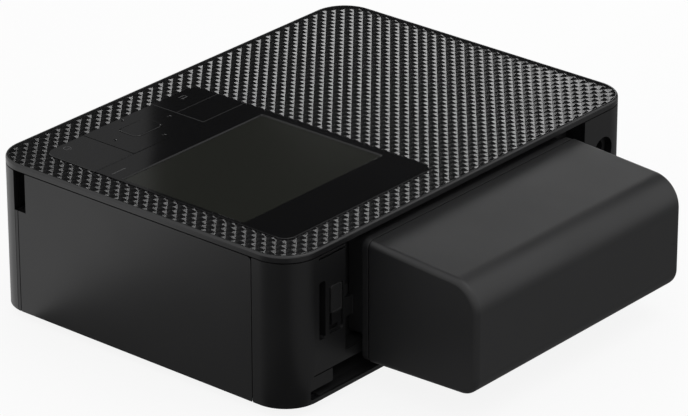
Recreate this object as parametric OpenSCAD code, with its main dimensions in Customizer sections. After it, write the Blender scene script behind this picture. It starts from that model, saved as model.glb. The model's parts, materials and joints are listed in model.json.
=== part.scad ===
// Compact photo printer with an add-on battery.
// Front is -Y, the side with the ink door is +X, up is +Z, and the printer stands on z = 0.

/* [Case] */
// Width of the case, left to right
body_w = 182.2; // [181:0.1:184]
// Depth of the case, front to back, without the battery
body_d = 133; // [132.5:0.1:134]
// Height of the case above the table, feet included
body_h = 57.6; // [57.4:0.1:58]
// Height of the rubber feet
foot_h = 3; // [2.5:0.1:3.2]
// Radius of the four upright corners
corner_r = 13; // [12:0.5:14]
// Thickness of the outer walls
wall_t = 2; // [1.8:0.1:2.2]
// Height of the band round the top
bezel_h = 2.5; // [2.4:0.1:2.6]
// Gap at the seams between outer covers
seam = 0.3; // [0.2:0.05:0.35]

/* [Panel] */
// Width of the glossy panel
panel_w = 75.6; // [74:0.1:76]
// Length of the glossy panel, front to back
panel_l = 108.3; // [108:0.1:109]
// Depth of the strip of keys at its front edge
key_strip = 23.9; // [23.5:0.1:24.2]
// Corner radius of the panel
panel_r = 4.5; // [3:0.5:6]
// Width of the screen
screen_w = 70.4; // [68:0.1:71]
// Height of the screen, front to back
screen_l = 53.8; // [52:0.1:54]
// Travel of each key
key_travel = 0.5; // [0.3:0.1:0.5]

/* [Ink door] */
// Distance from the front face to the door's front edge
door_front = 12.7; // [12.5:0.1:13]
// Distance from the front face to the door's rear edge
door_rear = 116.7; // [116.5:0.1:117]
// Depth of the finger notch below the top band
notch_h = 14.6; // [13:0.1:15]

/* [Battery] */
// Length of the battery, left to right
batt_w = 110.1; // [109:0.1:111]
// How far the battery stands out behind the case
batt_d = 47.7; // [47:0.1:48]
// Height of the battery's top edge at the case
batt_top = 53.2; // [52.8:0.1:53.4]
// Height of the battery's lower edge above the table
batt_low = 9.4; // [9.3:0.1:9.8]
// Thickness of the battery's case
batt_wall = 1.8; // [1.5:0.1:2]

/* [Mechanism] */
// Pressure angle of the gear teeth
gear_pa = 25; // [20:1:25]
// Play between gear teeth at the pitch circle
gear_play = 0.16; // [0.1:0.02:0.2]
// Radius of the platen roller
platen_r = 6; // [5.6:0.1:6]
// Play between a shaft and its bore, on the radius
fit = 0.05; // [0.03:0.01:0.08]

/* [Hidden] */
$fn = 64;
half_w = body_w / 2;
front_y = -(body_d + batt_d) / 2;
back_y = front_y + body_d;
batt_y = back_y + batt_d;
base_z = foot_h;
seam_z = body_h - bezel_h;
shell_top = seam_z - seam;
floor_z = base_z + 2;
in_x = half_w - wall_t;
in_front = front_y + wall_t;
in_back = back_y - wall_t;
shell_seam_y = front_y + 10.9;

// Panel and keys
panel_x0 = 2.6;
panel_x1 = panel_x0 + panel_w;
panel_y0 = front_y + 12.5;
panel_y1 = panel_y0 + panel_l;
strip_y = panel_y0 + key_strip;
panel_z = body_h - 0.3;
panel_t = 1.2;
key_gap = 0.15;
power_x = 58.8;
nav_x = 24.3;
menu_y = panel_y0 + 11.4;
nav_cx = 41.6;
nav_cy = panel_y0 + 10.85;
tray_z = body_h - 6.4;
tray_t = 1.2;
board_z = tray_z + tray_t;
dome_z = board_z + 1.2;
dome_h = 0.5;
ok_w = 13.4;
ok_l = 9;
screen_x0 = 6.2;
screen_recess = 0.5;
screen_y0 = panel_y0 + 34.7;

// Ink door and its gooseneck hinge
door_y0 = front_y + door_front;
door_y1 = front_y + door_rear;
door_t = 2.2;
door_x0 = half_w - door_t;
ink_hinge_x = half_w - 4;
ink_hinge_y = door_y1 + 4.95;
ink_pin_r = 0.8;
arm_h = 3;
arm_levels = [10, 45];
notch_z = seam_z - notch_h;
notch_y0 = front_y + 10.8;
notch_y1 = front_y + 16.2;

// Paper door at the front
pd_x = [-48, 76];
pd_top = 33.5;
pd_hinge_z = base_z + 3.1;
pd_knuckle = 2.05;
pd_hinge_y = front_y + pd_knuckle;
pd_pin_r = 0.9;
mouth_x = [-46.5, 74.5];
deck_z = 32.5;

// Back: battery bay, lock slider, slots
bay_x = [-63.8, 63.4];
bay_z0 = 15.7;
bay_d = 8;
bay_y = back_y - bay_d;
track_x = [64.6, 71.4];
track_z = [25.2, 42.25];
knob_x = [65.4, 70.9];
knob_z = [32.3, 42.2];
knob_proud = 0.4;
track_deep = 0.95;
neck_slot_x = [69.2, 71];
pad_y = back_y - 4;
blind_x = [73.3, 76.4];
blind_z = [24.7, 45.3];
exit_z = [4.5, 12];
exit_x = [-70, 80.5];
sill_x = [-72, 81.8];
jack_x = -74.5;
jack_z = 40.7;

// Mechanism: side frames and axes, each axis as [y, z]
gear_m = 0.8;
frame_l = [-51, -49.8];
frame_r = [78, 79.2];
layer_a = [-60, -57];
layer_b = [-56, -53];
paper_x = 14;
bush_r = 3.4;
shaft_r = 2.5;
cap_at = [front_y + 100.35, floor_z + 7];
platen_at = [front_y + 74.35, floor_z + platen_r + 0.8];
pinch_at = [cap_at[0], cap_at[1] + 7.25];
supply_at = [front_y + 34.35, 43];
head_at = [front_y + 50.35, 30];
head_y = [front_y + 65.35, front_y + 79.35];
head_gap = 2.6;
n_cap = 14;
n_small = 12;
n_big = 30;
n_pinion = 12;
n_hub = 18;
n_idler = 36;
n_pick = 18;
function reach(a, b) = gear_m * (a + b) / 2;
function step_to(from, angle, dist) = [from[0] + dist * cos(angle), from[1] + dist * sin(angle)];
dir_red = 140;
dir_motor = 155;
dir_hub = 75;
dir_idler = 185;
dir_pick = 178;
red_at = step_to(cap_at, dir_red, reach(n_cap, n_small));
motor_at = step_to(red_at, dir_motor, reach(n_big, n_pinion));
hub_at = step_to(red_at, dir_hub, reach(n_big, n_hub));
idler_at = step_to(motor_at, dir_idler, reach(n_pinion, n_idler));
pick_at = step_to(idler_at, dir_pick, reach(n_idler, n_pick));

// Angle of a tooth of the driven gear that puts one of its gaps on the driver's tooth
function mesh_phase(dir, n1, ph1, n2) = dir + 180 - (ph1 - dir) * n1 / n2 + 180 / n2;
ph_cap = 0;
ph_small = mesh_phase(dir_red, n_cap, ph_cap, n_small);
ph_big = ph_small;
ph_motor = mesh_phase(dir_motor, n_big, ph_big, n_pinion);
ph_hub = mesh_phase(dir_hub, n_big, ph_big, n_hub);
ph_idler = mesh_phase(dir_idler, n_pinion, ph_motor, n_idler);
ph_pick = mesh_phase(dir_pick, n_idler, ph_idler, n_pick);

// Colours
case_c = [0.10, 0.10, 0.11];
satin_c = [0.16, 0.16, 0.17];
gloss_c = [0.05, 0.05, 0.06];
dark_c = [0.07, 0.07, 0.075];
steel_c = [0.66, 0.67, 0.69];
brass_c = [0.80, 0.66, 0.36];
board_c = [0.08, 0.30, 0.18];
rubber_c = [0.12, 0.12, 0.12];
white_c = [0.86, 0.86, 0.84];

// ---- shared shapes ----

// A plain block between two values on each axis
module block(x, y, z) {
    translate([x[0], y[0], z[0]]) cube([x[1] - x[0], y[1] - y[0], z[1] - z[0]]);
}

// Outline of a rectangle with round corners, with true arcs
module round_rect(x, y, r) {
    translate([x[0] + r, y[0]]) square([x[1] - x[0] - 2 * r, y[1] - y[0]]);
    translate([x[0], y[0] + r]) square([x[1] - x[0], y[1] - y[0] - 2 * r]);
    for (cx = [x[0] + r, x[1] - r])
        for (cy = [y[0] + r, y[1] - r])
            translate([cx, cy]) circle(r);
}

// Round-cornered slab lying flat
module slab(x, y, z, r) {
    translate([0, 0, z[0]]) linear_extrude(z[1] - z[0]) round_rect(x, y, r);
}

// Round-cornered slab standing across the depth: its outline is drawn in x and z
module upright(x, y, z, r) {
    translate([0, y[1], 0]) rotate([90, 0, 0]) linear_extrude(y[1] - y[0]) round_rect(x, z, r);
}

// The case outline seen from above, brought in all round
module case_plan(inset) {
    round_rect([-half_w + inset, half_w - inset], [front_y + inset, back_y - inset],
        corner_r - inset);
}

// Upright wall of the case between two heights
module case_wall(z0, z1) {
    translate([0, 0, z0]) linear_extrude(z1 - z0) difference() {
        case_plan(0);
        case_plan(wall_t);
    }
}

// Rod along the width, at [y, z]
module rod(x, at, r) {
    translate([x[0], at[0], at[1]]) rotate([0, 90, 0]) cylinder(r = r, h = x[1] - x[0]);
}

// Rod upright
module post(x, y, z, r) {
    translate([x, y, z[0]]) cylinder(r = r, h = z[1] - z[0]);
}

// Plate across the width with its outline given as [y, z] points
module side_plate(x, points) {
    translate([x[0], 0, 0]) rotate([90, 0, 90]) linear_extrude(x[1] - x[0]) polygon(points);
}

// ---- gears ----

function inv_deg(rb, r) = r <= rb ? 0 : tan(acos(rb / r)) * 180 / PI - acos(rb / r);

// Half the width of a tooth at a radius, as an angle
function half_tooth(n, r) =
    let (rp = gear_m * n / 2, rb = rp * cos(gear_pa))
    (PI * gear_m / 2 - gear_play / 2) / (2 * rp) * 180 / PI + inv_deg(rb, rp) - inv_deg(rb, r);

function polar(r, a) = [r * cos(a), r * sin(a)];

function gear_points(n, phase) =
    let (rp = gear_m * n / 2, rb = rp * cos(gear_pa),
        root = rp - 1.05 * gear_m, tip = rp + 0.8 * gear_m,
        low = max(rb, root + 0.1), radii = [root, low, rp, tip])
    [for (i = [0 : n - 1])
        for (k = [0 : 7])
            let (j = k < 4 ? k : 7 - k, side = k < 4 ? -1 : 1)
            polar(radii[j], phase + i * 360 / n + side * half_tooth(n, radii[j]))];

// Spur gear across the width, its axis at [y, z]
module gear(x, at, n, phase) {
    translate([x[0], at[0], at[1]]) rotate([90, 0, 90])
        linear_extrude(x[1] - x[0]) polygon(gear_points(n, phase));
}

// ---- outer covers ----

screw_spots = [[-82, front_y + 8.85], [82, front_y + 8.85], [-82.5, back_y - 7.15],
    [82.5, back_y - 7.15]];
screw_r = 1.2;
screw_head_r = 2.2;
screw_head_h = 1.3;
boss_r = 2.6;
boss_top = 9.6;

// Boss for one case screw, tied to the outer wall by a web
module screw_boss(spot) {
    web = spot[1] < 0 ? [front_y + 1.5, spot[1]] : [spot[1], back_y - 1.6];
    post(spot[0], spot[1], [floor_z, boss_top], boss_r);
    block([spot[0] - 0.6, spot[0] + 0.6], web, [floor_z, boss_top]);
}

module screw_holes() {
    for (s = screw_spots) post(s[0], s[1], [base_z - 1, boss_top - 0.6], screw_r);
}

foot_spots = [[-74, front_y + 16.35], [74, front_y + 16.35], [-74, back_y - 16.65],
    [74, back_y - 16.65]];
foot_r = 5;

module bottom_cover() {
    color(case_c) difference() {
        union() {
            translate([0, 0, base_z]) linear_extrude(floor_z - base_z) case_plan(wall_t + 0.1);
            for (y = [-60, -35, 2])
                block([-44, 70], [y - 0.6, y + 0.6], [floor_z, floor_z + 0.6]);
        }
        screw_holes();
        for (s = screw_spots) post(s[0], s[1], [base_z - 1, base_z + screw_head_h], screw_head_r + 0.1);
        for (i = [-4 : 4]) slab([i * 9 - 2.5, i * 9 + 2.5], [6, 16], [base_z - 1, floor_z + 1], 1);
        // room for the ink door, the paper door's knuckle and the paper guide's lip
        block([door_x0 - seam, half_w], [door_y0 - seam, door_y1 + seam], [base_z - 1, floor_z + 1]);
        block([pd_x[0] - 4.1, pd_x[1] + 4.1], [front_y, front_y + 5.1], [base_z + 0.75, floor_z + 1]);
        block([guide_x[0] - seam, guide_x[1] + seam], [back_y - 7, back_y], [guide_z - 0.1, floor_z + 1]);
    }
}

module feet() {
    color(rubber_c) for (f = foot_spots) difference() {
        post(f[0], f[1], [0, base_z], foot_r);
        post(f[0], f[1], [-1, 0.6], foot_r - 2);
    }
}

module case_screws() {
    color(steel_c) for (s = screw_spots) difference() {
        union() {
            post(s[0], s[1], [base_z, base_z + screw_head_h], screw_head_r);
            post(s[0], s[1], [base_z + screw_head_h, boss_top - 1], screw_r);
        }
        for (a = [0, 90])
            translate([s[0], s[1], base_z]) rotate([0, 0, a]) cube([2.4, 0.5, 1.2], center = true);
    }
}

rail_x = [half_w - 5.8, half_w - 3.9];
rail_end = back_y - 5.6;
lock_y = [pad_y - 1.45, pad_y - 0.15];

// Moulding behind the ink door: two rails, the strip in front of the door and the finger pocket
module door_frame() {
    strip_y = [shell_seam_y + seam, door_y0 - seam];
    top = shell_top - 0.2;
    color(case_c) {
        intersection() {
            union() {
                block(rail_x, [strip_y[0], rail_end], [floor_z + 0.2, arm_levels[0] - 2.2]);
                block(rail_x, [notch_y1, rail_end], [top - 2.6, top]);
            }
            linear_extrude(body_h) case_plan(wall_t);
        }
        block([rail_x[0], half_w], strip_y, [floor_z + 0.2, notch_z]);
        block([in_x, half_w], strip_y, [base_z, notch_z]);
        block([rail_x[0] - 1.2, rail_x[0] + 0.1], [notch_y0 - 1, notch_y1 + 1], [notch_z - 1.2, top]);
        block([rail_x[0], door_x0 - seam], [strip_y[0], notch_y1 + 1], [notch_z - 1.2, notch_z]);
        block([rail_x[0], door_x0 - seam], [notch_y1, notch_y1 + 1], [notch_z - 1.2, top]);
        block([rail_x[0], in_x - 0.7], [notch_y0 - 1, notch_y0], [notch_z - 1.2, top]);
    }
}

// Ears at the rear corner that hold the hinge pins
module pin_ears() {
    for (z = arm_levels)
        for (dz = [-2.2, arm_h + 0.2])
            block([ink_hinge_x - 2.2, half_w - 1.2], [ink_hinge_y - 1.9, ink_hinge_y + 2.1],
                [z + dz, z + dz + 2]);
}

module door_pin_bores() {
    for (z = arm_levels)
        post(ink_hinge_x, ink_hinge_y, [z - 2, z + arm_h + 2], ink_pin_r + fit);
}

// The wall behind the front shell, open for the ink door, the battery's bay and the sill
module rear_wall() {
    difference() {
        case_wall(base_z, shell_top);
        block([-half_w - 1, half_w + 1], [front_y - 1, shell_seam_y + seam], [0, body_h]);
        block([door_x0 - 2, half_w + 1], [front_y, door_y1 + seam], [0, body_h]);
        block(bay_x, [bay_y, back_y + 1], [bay_z0, body_h]);
        block(sill_x, [in_back - 2, back_y + 1], [0, bay_z0]);
    }
}

module main_shell() {
    color(case_c) difference() {
        union() {
            intersection() {
                rear_wall();
                block([-half_w, 0], [front_y, back_y], [0, body_h]);
            }
            post_y(jack_x, jack_z, [back_y - 3, back_y - 1], 7);
            screw_boss(screw_spots[2]);
        }
        screw_holes();
        post_y(jack_x, jack_z, [back_y - 4, back_y + 1], 5);
        slot_x([-half_w - 1, -in_x + 1], usb_y, usb_z, 1.7);
    }
}

// Rear right corner: hinge ears of the ink door and the slider's track
module rear_post() {
    color(case_c) difference() {
        union() {
            intersection() {
                rear_wall();
                block([0, half_w], [front_y, back_y], [0, body_h]);
            }
            pin_ears();
            block([bay_x[1] + bay_side, 78.2], [pad_y, back_y - 1], [20, 48.5]);
            screw_boss(screw_spots[3]);
        }
        screw_holes();
        door_pin_bores();
        // slider track and the slot for its neck
        upright(track_x, [back_y - track_deep, back_y + 1], track_z, 1);
        block(neck_slot_x, [pad_y - 1, back_y], [26.2, 41.3]);
        block([66.2, neck_slot_x[1]], [back_y - 1.8, back_y], [26.2, 27.4]);
        // narrow blind slot beside it and the slit under the top band
        upright(blind_x, [pad_y + 0.75, back_y + 1], blind_z, 0.8);
        block([63.6, 76.5], [back_y - 1.5, back_y + 1], [shell_top - 1.5, shell_top - 0.8]);
    }
}

// Back wall under the battery's bay: the paper exit, with a recessed band over it
module rear_sill() {
    color(case_c) difference() {
        intersection() {
            case_wall(base_z, bay_z0);
            block(sill_x, [in_back - 2, back_y + 1], [0, bay_z0]);
        }
        block([-72.1, 79], [back_y - 1.2, back_y + 1], [exit_z[1] - 1, bay_z0 + 1]);
        block(exit_x, [back_y - 4, back_y + 1], exit_z);
    }
}

// Rod along the depth
module post_y(x, z, y, r) {
    translate([x, y[1], z]) rotate([90, 0, 0]) cylinder(r = r, h = y[1] - y[0]);
}

// Round-ended slot cut across the width
module slot_x(x, y, z, r) {
    translate([x[0], 0, 0]) rotate([90, 0, 90]) linear_extrude(x[1] - x[0]) round_rect(y, z, r);
}

usb_y = [front_y + 85.65, front_y + 95.05];
usb_z = [10.2, 13.8];
card_x = [-76, -51.4];
card_z = [19.6, 22.4];
card_end = front_y + 24.6;

tunnel_y = [in_front + 1.5, front_y + 22.8];

module front_shell() {
    color(case_c) difference() {
        union() {
            intersection() {
                case_wall(base_z, shell_top);
                block([-half_w - 1, half_w + 1], [front_y - 1, shell_seam_y], [0, body_h]);
            }
            // tunnel that takes the paper cassette
            block([mouth_x[0] - 1.5, mouth_x[0]], tunnel_y, [floor_z, pd_top + 0.4]);
            block([mouth_x[1], mouth_x[1] + 1.5], tunnel_y, [floor_z, pd_top + 0.4]);
            block([mouth_x[0] - 1.5, mouth_x[1] + 1.5], [in_front - 1, front_y + 10],
                [pd_top + 0.3, pd_top + 1.8]);
            // bosses for the paper door's pins
            for (x = [pd_x[0] - 4, pd_x[1] + seam])
                block([x, x + 3.7], [front_y + 0.5, front_y + 5], [base_z + 0.8, base_z + 6]);
            for (i = [0, 1]) screw_boss(screw_spots[i]);
        }
        screw_holes();
        block([pd_x[0] - seam, pd_x[1] + seam], [front_y - 1, in_front + 0.2],
            [base_z + 0.8, pd_top + seam]);
        rod([pd_x[0] - seam, pd_x[1] + seam], [pd_hinge_y, pd_hinge_z], pd_knuckle + seam);
        rod([pd_x[0] - 3, pd_x[1] + 3], [pd_hinge_y, pd_hinge_z], pd_pin_r + fit);
        upright(card_x, [front_y - 1, in_front + 1], card_z, 0.6);
        block([in_x - 3, half_w + 1], [notch_y0, shell_seam_y + 1], [notch_z, body_h]);
    }
}

// Plate with straight sides, round corners and a rounded top edge
module soft_plate(inset, z0, z1, e) {
    translate([0, 0, z0]) linear_extrude(z1 - z0) case_plan(inset + e);
    translate([0, 0, z0]) linear_extrude(z1 - z0 - e) case_plan(inset);
    r = corner_r - inset;
    for (x = [-half_w + corner_r, half_w - corner_r])
        for (y = [front_y + corner_r, back_y - corner_r])
            translate([x, y, z1 - e]) rotate_extrude() translate([r - e, 0]) circle(e);
    for (x = [-half_w + inset + e, half_w - inset - e])
        translate([x, back_y - corner_r, z1 - e]) rotate([90, 0, 0])
            cylinder(r = e, h = body_d - 2 * corner_r);
    for (y = [front_y + inset + e, back_y - inset - e])
        translate([-half_w + corner_r, y, z1 - e]) rotate([0, 90, 0])
            cylinder(r = e, h = body_w - 2 * corner_r);
}

rim_w = 1;

module top_bezel() {
    color(satin_c) difference() {
        soft_plate(0, seam_z, body_h, 0.6);
        translate([0, 0, seam_z + 0.5]) linear_extrude(bezel_h) case_plan(rim_w);
        translate([0, 0, seam_z - 1]) linear_extrude(bezel_h) case_plan(rim_w + 3.4);
    }
}

module top_plate() {
    color(case_c) difference() {
        union() {
            translate([0, 0, seam_z + 0.5]) linear_extrude(bezel_h - 0.85) case_plan(rim_w);
            for (x = [-60, -25])
                block([x - 0.6, x + 0.6], [in_front + 6, in_back - 12], [seam_z - 1, seam_z + 1]);
        }
        slab([panel_x0, panel_x1], [panel_y0, panel_y1], [seam_z - 1, body_h + 1], panel_r);
    }
}

// ---- panel, screen and keys ----

module panel_window() {
    color(gloss_c) difference() {
        slab([panel_x0 + key_gap, panel_x1 - key_gap], [panel_y0 + key_gap, panel_y1 - key_gap],
            [panel_z - panel_t, panel_z], panel_r - key_gap);
        block([0, 90], [front_y, strip_y], [0, 90]);
        // shallow recess over the screen
        slab([screen_x0, screen_x0 + screen_w], [screen_y0, screen_y0 + screen_l],
            [panel_z - screen_recess, panel_z + 1], 0.6);
    }
}

module panel_tray() {
    x = [panel_x0 - 1.6, panel_x1 + 1.6];
    y = [panel_y0 - 1.6, panel_y1 + 1.6];
    color(dark_c) difference() {
        slab(x, y, [tray_z, seam_z + 0.4], 2);
        slab([x[0] + 1.2, x[1] - 1.2], [y[0] + 1.2, y[1] - 1.2], [board_z, body_h], 1);
    }
    color(dark_c) {
        // ledges under the window and posts for the gimbal of the cross key
        for (y = [[panel_y1 - 14, panel_y1 - panel_r], [strip_y + 0.6, strip_y + 2.4]]) {
            block([x[0] + 1, x[1] - 1], y, [board_z, seam_z + 0.4]);
            block([panel_x0 + key_gap, panel_x1 - key_gap], y, [board_z, panel_z - panel_t]);
        }
        for (s = [-1, 1]) difference() {
            block([nav_cx + s * 10.4 - 0.8, nav_cx + s * 10.4 + 0.8], [nav_cy - 1.5, nav_cy + 1.5],
                [board_z, nav_axis_z + 1]);
            rod([nav_cx + s * 10.4 - 2, nav_cx + s * 10.4 + 2], [nav_cy, nav_axis_z], nav_pin_r + fit);
        }
    }
}

lcd_y = [screen_y0 - 3, screen_y0 + screen_l + 3];
lcd_top = panel_z - panel_t - 0.1;

module lcd_module() {
    color(steel_c) difference() {
        block([screen_x0 - 2, screen_x0 + screen_w + 1.2], lcd_y, [board_z, lcd_top - 0.2]);
        block([screen_x0, screen_x0 + screen_w], [screen_y0, screen_y0 + screen_l],
            [lcd_top - 1, body_h]);
    }
}

module lcd_glass() {
    color(gloss_c) block([screen_x0 + 0.1, screen_x0 + screen_w - 0.1],
        [screen_y0 + 0.1, screen_y0 + screen_l - 0.1], [lcd_top - 1, lcd_top]);
}

dome_spots = [[68.6, panel_y0 + 11.9], [13.5, panel_y0 + 5.6], [13.5, panel_y0 + 17.6],
    [nav_cx + 6.4, nav_cy - 8.4], [nav_cx - 6.4, nav_cy + 8.8], [nav_cx - 14, nav_cy],
    [nav_cx + 14, nav_cy], [nav_cx, nav_cy]];

// Circuit board under the keys, with the domes soldered on it
module key_board() {
    color(board_c) {
        difference() {
            block([panel_x0 + 0.8, panel_x1 - 0.8], [panel_y0 + 0.8, strip_y - 0.4], [board_z, dome_z]);
            for (s = [-1, 1])
                block([nav_cx + s * 10.4 - 1.2, nav_cx + s * 10.4 + 1.2], [nav_cy - 1.9, nav_cy + 1.9],
                    [board_z - 1, dome_z + 1]);
        }
        for (d = dome_spots) post(d[0], d[1], [dome_z, dome_z + dome_h], 1.6);
    }
}

// Key cap in the strip: a piece of the rounded panel between two widths and two depths
module key_cap(x, y) {
    intersection() {
        slab([panel_x0 + key_gap, panel_x1 - key_gap], [panel_y0 + key_gap, panel_y1],
            [panel_z - panel_t, panel_z], panel_r - key_gap);
        block(x, y, [0, body_h]);
    }
}

module key_stem(d) {
    post(d[0], d[1], [dome_z + dome_h + key_travel + 0.15, panel_z - panel_t + 0.01], 1.2);
}

strip_back = strip_y - key_gap;

module power_key() {
    color(gloss_c) {
        key_cap([power_x + key_gap, 90], [front_y, strip_back]);
        key_stem(dome_spots[0]);
    }
}

module return_key() {
    color(gloss_c) {
        key_cap([0, nav_x - key_gap], [front_y, menu_y - key_gap / 2]);
        key_stem(dome_spots[1]);
    }
}

module menu_key() {
    color(gloss_c) {
        key_cap([0, nav_x - key_gap], [menu_y + key_gap / 2, strip_back]);
        key_stem(dome_spots[2]);
    }
}

nav_axis_z = panel_z - panel_t - 1.4;
nav_pin_r = 0.6;
nav_lug = 9.6;

module nav_ring() {
    color(dark_c) {
        difference() {
            post(nav_cx, nav_cy, [nav_axis_z - 0.7, nav_axis_z + 0.7], 8.5);
            post(nav_cx, nav_cy, [nav_axis_z - 2, nav_axis_z + 2], 7.1);
        }
        // pins to the tray on the left and right, to the cross key at the front and back
        for (s = [0 : 90 : 270])
            translate([nav_cx, nav_cy, nav_axis_z]) rotate([0, 90, s])
                translate([0, 0, 8]) cylinder(r = nav_pin_r, h = s % 180 == 0 ? 2.9 : 2.3);
    }
}

nav_dots = [[nav_cx - 0.45, nav_cy - 9.1], [nav_cx - 13.5, nav_cy + 0.7],
    [nav_cx + 13.3, nav_cy + 0.45], [nav_cx - 0.8, nav_cy + 10]];

module nav_plate() {
    color(gloss_c) {
        difference() {
            key_cap([nav_x + key_gap, power_x - key_gap], [front_y, strip_back]);
            slab([nav_cx - ok_w / 2 - 0.25, nav_cx + ok_w / 2 + 0.25],
                [nav_cy - ok_l / 2 - 0.25, nav_cy + ok_l / 2 + 0.25], [0, 90], 2.4);
        }
        for (d = nav_dots)
            intersection() {
                translate([d[0], d[1], panel_z - 1]) sphere(1.25);
                block([d[0] - 2, d[0] + 2], [d[1] - 2, d[1] + 2], [panel_z - 0.5, body_h]);
            }
        for (i = [3 : 6]) key_stem(dome_spots[i]);
        // snap bearings, open below, that sit on the ring's pins
        for (y = [nav_cy - nav_lug, nav_cy + nav_lug]) difference() {
            block([nav_cx - 1.2, nav_cx + 1.2], [y - 0.6, y + 0.6],
                [nav_axis_z - 0.3, panel_z - panel_t + 0.01]);
            post_y(nav_cx, nav_axis_z, [y - 2, y + 2], nav_pin_r + fit);
        }
    }
}

module ok_button() {
    color(gloss_c) {
        slab([nav_cx - ok_w / 2, nav_cx + ok_w / 2], [nav_cy - ok_l / 2, nav_cy + ok_l / 2],
            [panel_z - panel_t, panel_z + 0.2], 2.2);
        key_stem(dome_spots[7]);
    }
}

// ---- ink door ----

// Plan of one gooseneck arm, drawn round the hinge pin
module goose_arm() {
    w = 1.8;
    inner_x = door_x0 - ink_hinge_x;
    circle(1.5);
    translate([-7.1, -0.3]) square([7.1, w]);
    translate([-7.1, -8.4]) square([w, 8.4 + w - 0.3]);
    translate([-7.1, -8.4]) square([inner_x + 7.1 + 0.5, w]);
}

module ink_door() {
    z0 = base_z;
    color(case_c) {
        difference() {
            translate([0, 0, z0]) linear_extrude(shell_top - z0)
                polygon([[half_w, door_y0], [half_w, door_y1], [door_x0, door_y1 - 1.35],
                    [door_x0, door_y0]]);
            // finger notch, and the rounded upper rear corner
            block([door_x0 - 1, half_w + 1], [door_y0 - 1, notch_y1], [notch_z, body_h]);
            corner_cut([door_x0 - 1, half_w + 1], [door_y1, shell_top], 1.5);
        }
        // stiffening ribs on the inside
        block([door_x0 - 1.2, door_x0 + 0.1], [door_y0 + 5.5, door_y1 - 12], [z0 + 6, z0 + 7.2]);
        block([door_x0 - 1.2, door_x0 + 0.1], [door_y0 + 5.5, door_y1 - 12], [48, 49.2]);
        // latch nose near the front edge
        block([rail_x[0] - 1.4, door_x0 + 0.1], [door_y0 + 1.2, door_y0 + 2.6], [20, 27]);
        block([rail_x[0] - 1.4, rail_x[0] - 0.3], [door_y0 + 0.1, door_y0 + 1.3], [20, 27]);
        for (z = arm_levels)
            difference() {
                translate([ink_hinge_x, ink_hinge_y, z]) linear_extrude(arm_h) goose_arm();
                post(ink_hinge_x, ink_hinge_y, [z - 1, z + arm_h + 1], ink_pin_r);
            }
    }
}

// What a rounded corner takes away, on a plate across the width; at = [y, z] of the corner
module corner_cut(x, at, r) {
    difference() {
        block(x, [at[0] - r, at[0] + 1], [at[1] - r, at[1] + 1]);
        rod(x, [at[0] - r, at[1] - r], r);
    }
}

module ink_door_pins() {
    color(steel_c) for (z = arm_levels)
        post(ink_hinge_x, ink_hinge_y, [z - 1.9, z + arm_h + 1.9], ink_pin_r);
}

// ---- paper door ----

module paper_door() {
    color(case_c) difference() {
        union() {
            block(pd_x, [front_y, in_front], [pd_hinge_z, pd_top]);
            rod(pd_x, [pd_hinge_y, pd_hinge_z], pd_knuckle);
            block([pd_x[0] + 10, pd_x[1] - 10], [in_front - 0.1, in_front + 1.2], [14, 15.2]);
        }
        // finger scoop at the top edge
        block([4, 24], [front_y - 1, front_y + 1], [pd_top - 3, pd_top + 1]);
        rod([pd_x[0] - 1, pd_x[0] + 5], [pd_hinge_y, pd_hinge_z], pd_pin_r);
        rod([pd_x[1] - 5, pd_x[1] + 1], [pd_hinge_y, pd_hinge_z], pd_pin_r);
    }
}

module paper_door_pins() {
    color(steel_c) {
        rod([pd_x[0] - 2.8, pd_x[0] + 5], [pd_hinge_y, pd_hinge_z], pd_pin_r);
        rod([pd_x[1] - 5, pd_x[1] + 2.8], [pd_hinge_y, pd_hinge_z], pd_pin_r);
    }
}

// ---- back: bay, lock, sockets ----

blade_x = [-16, -8, 0, 8, 16];
blade_z = [38, 46];

// Moulding that lines the battery's bay: floor, two sides and the plate at its inner end
bay_side = 1.2;

module bay_plate() {
    color(dark_c) difference() {
        block([bay_x[0] - bay_side, bay_x[1] + bay_side], [bay_y - 2, back_y - wall_t],
            [bay_z0 - 2, shell_top]);
        block(bay_x, [bay_y, back_y], [bay_z0, seam_z]);
        block([bay_x[1] - 1, bay_x[1] + bay_side + 1], [lock_y[0] - 0.3, lock_y[1] + 0.3], [25.6, 37.4]);
        for (x = [-56 : 6 : -32], z = [20, 30, 40])
            upright([x - 1.5, x + 1.5], [bay_y - 3, bay_y + 1], [z, z + 7], 1.4);
        for (x = [32 : 6 : 56], z = [20, 30, 40])
            upright([x - 1.5, x + 1.5], [bay_y - 3, bay_y + 1], [z, z + 7], 1.4);
    }
}

module bay_terminals() {
    color(brass_c) for (x = blade_x)
        block([x - 0.4, x + 0.4], [bay_y, bay_y + 3.2], blade_z);
}

module lock_slider() {
    color(dark_c) {
        difference() {
            upright(knob_x, [back_y - track_deep + 0.1, back_y + knob_proud], knob_z, 0.8);
            // thumb hollow in the knob's face
            upright([knob_x[0] + 0.7, knob_x[1] - 0.7], [back_y + knob_proud - 0.2, back_y + 2],
                [knob_z[0] + 0.7, knob_z[1] - 0.7], 0.5);
        }
        block([neck_slot_x[0] + 0.2, neck_slot_x[1] - 0.2], [lock_y[0], back_y - track_deep + 0.2],
            [34.2, 40.7]);
        block([bay_x[1] + 1.6, 72.2], lock_y, [30, 43]);
        block([57.5, bay_x[1] + 2], lock_y, [33, 37]);
    }
}

module dc_jack() {
    color(dark_c) {
        difference() {
            block([jack_x - 6, jack_x + 6], [back_y - 15.5, back_y - 3], [jack_z - 6.5, jack_z + 6]);
            post_y(jack_x, jack_z, [back_y - 13.5, back_y - 2], 3.2);
        }
        post_y(jack_x, jack_z, [back_y - 14, back_y - 4.5], 0.9);
    }
}

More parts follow.
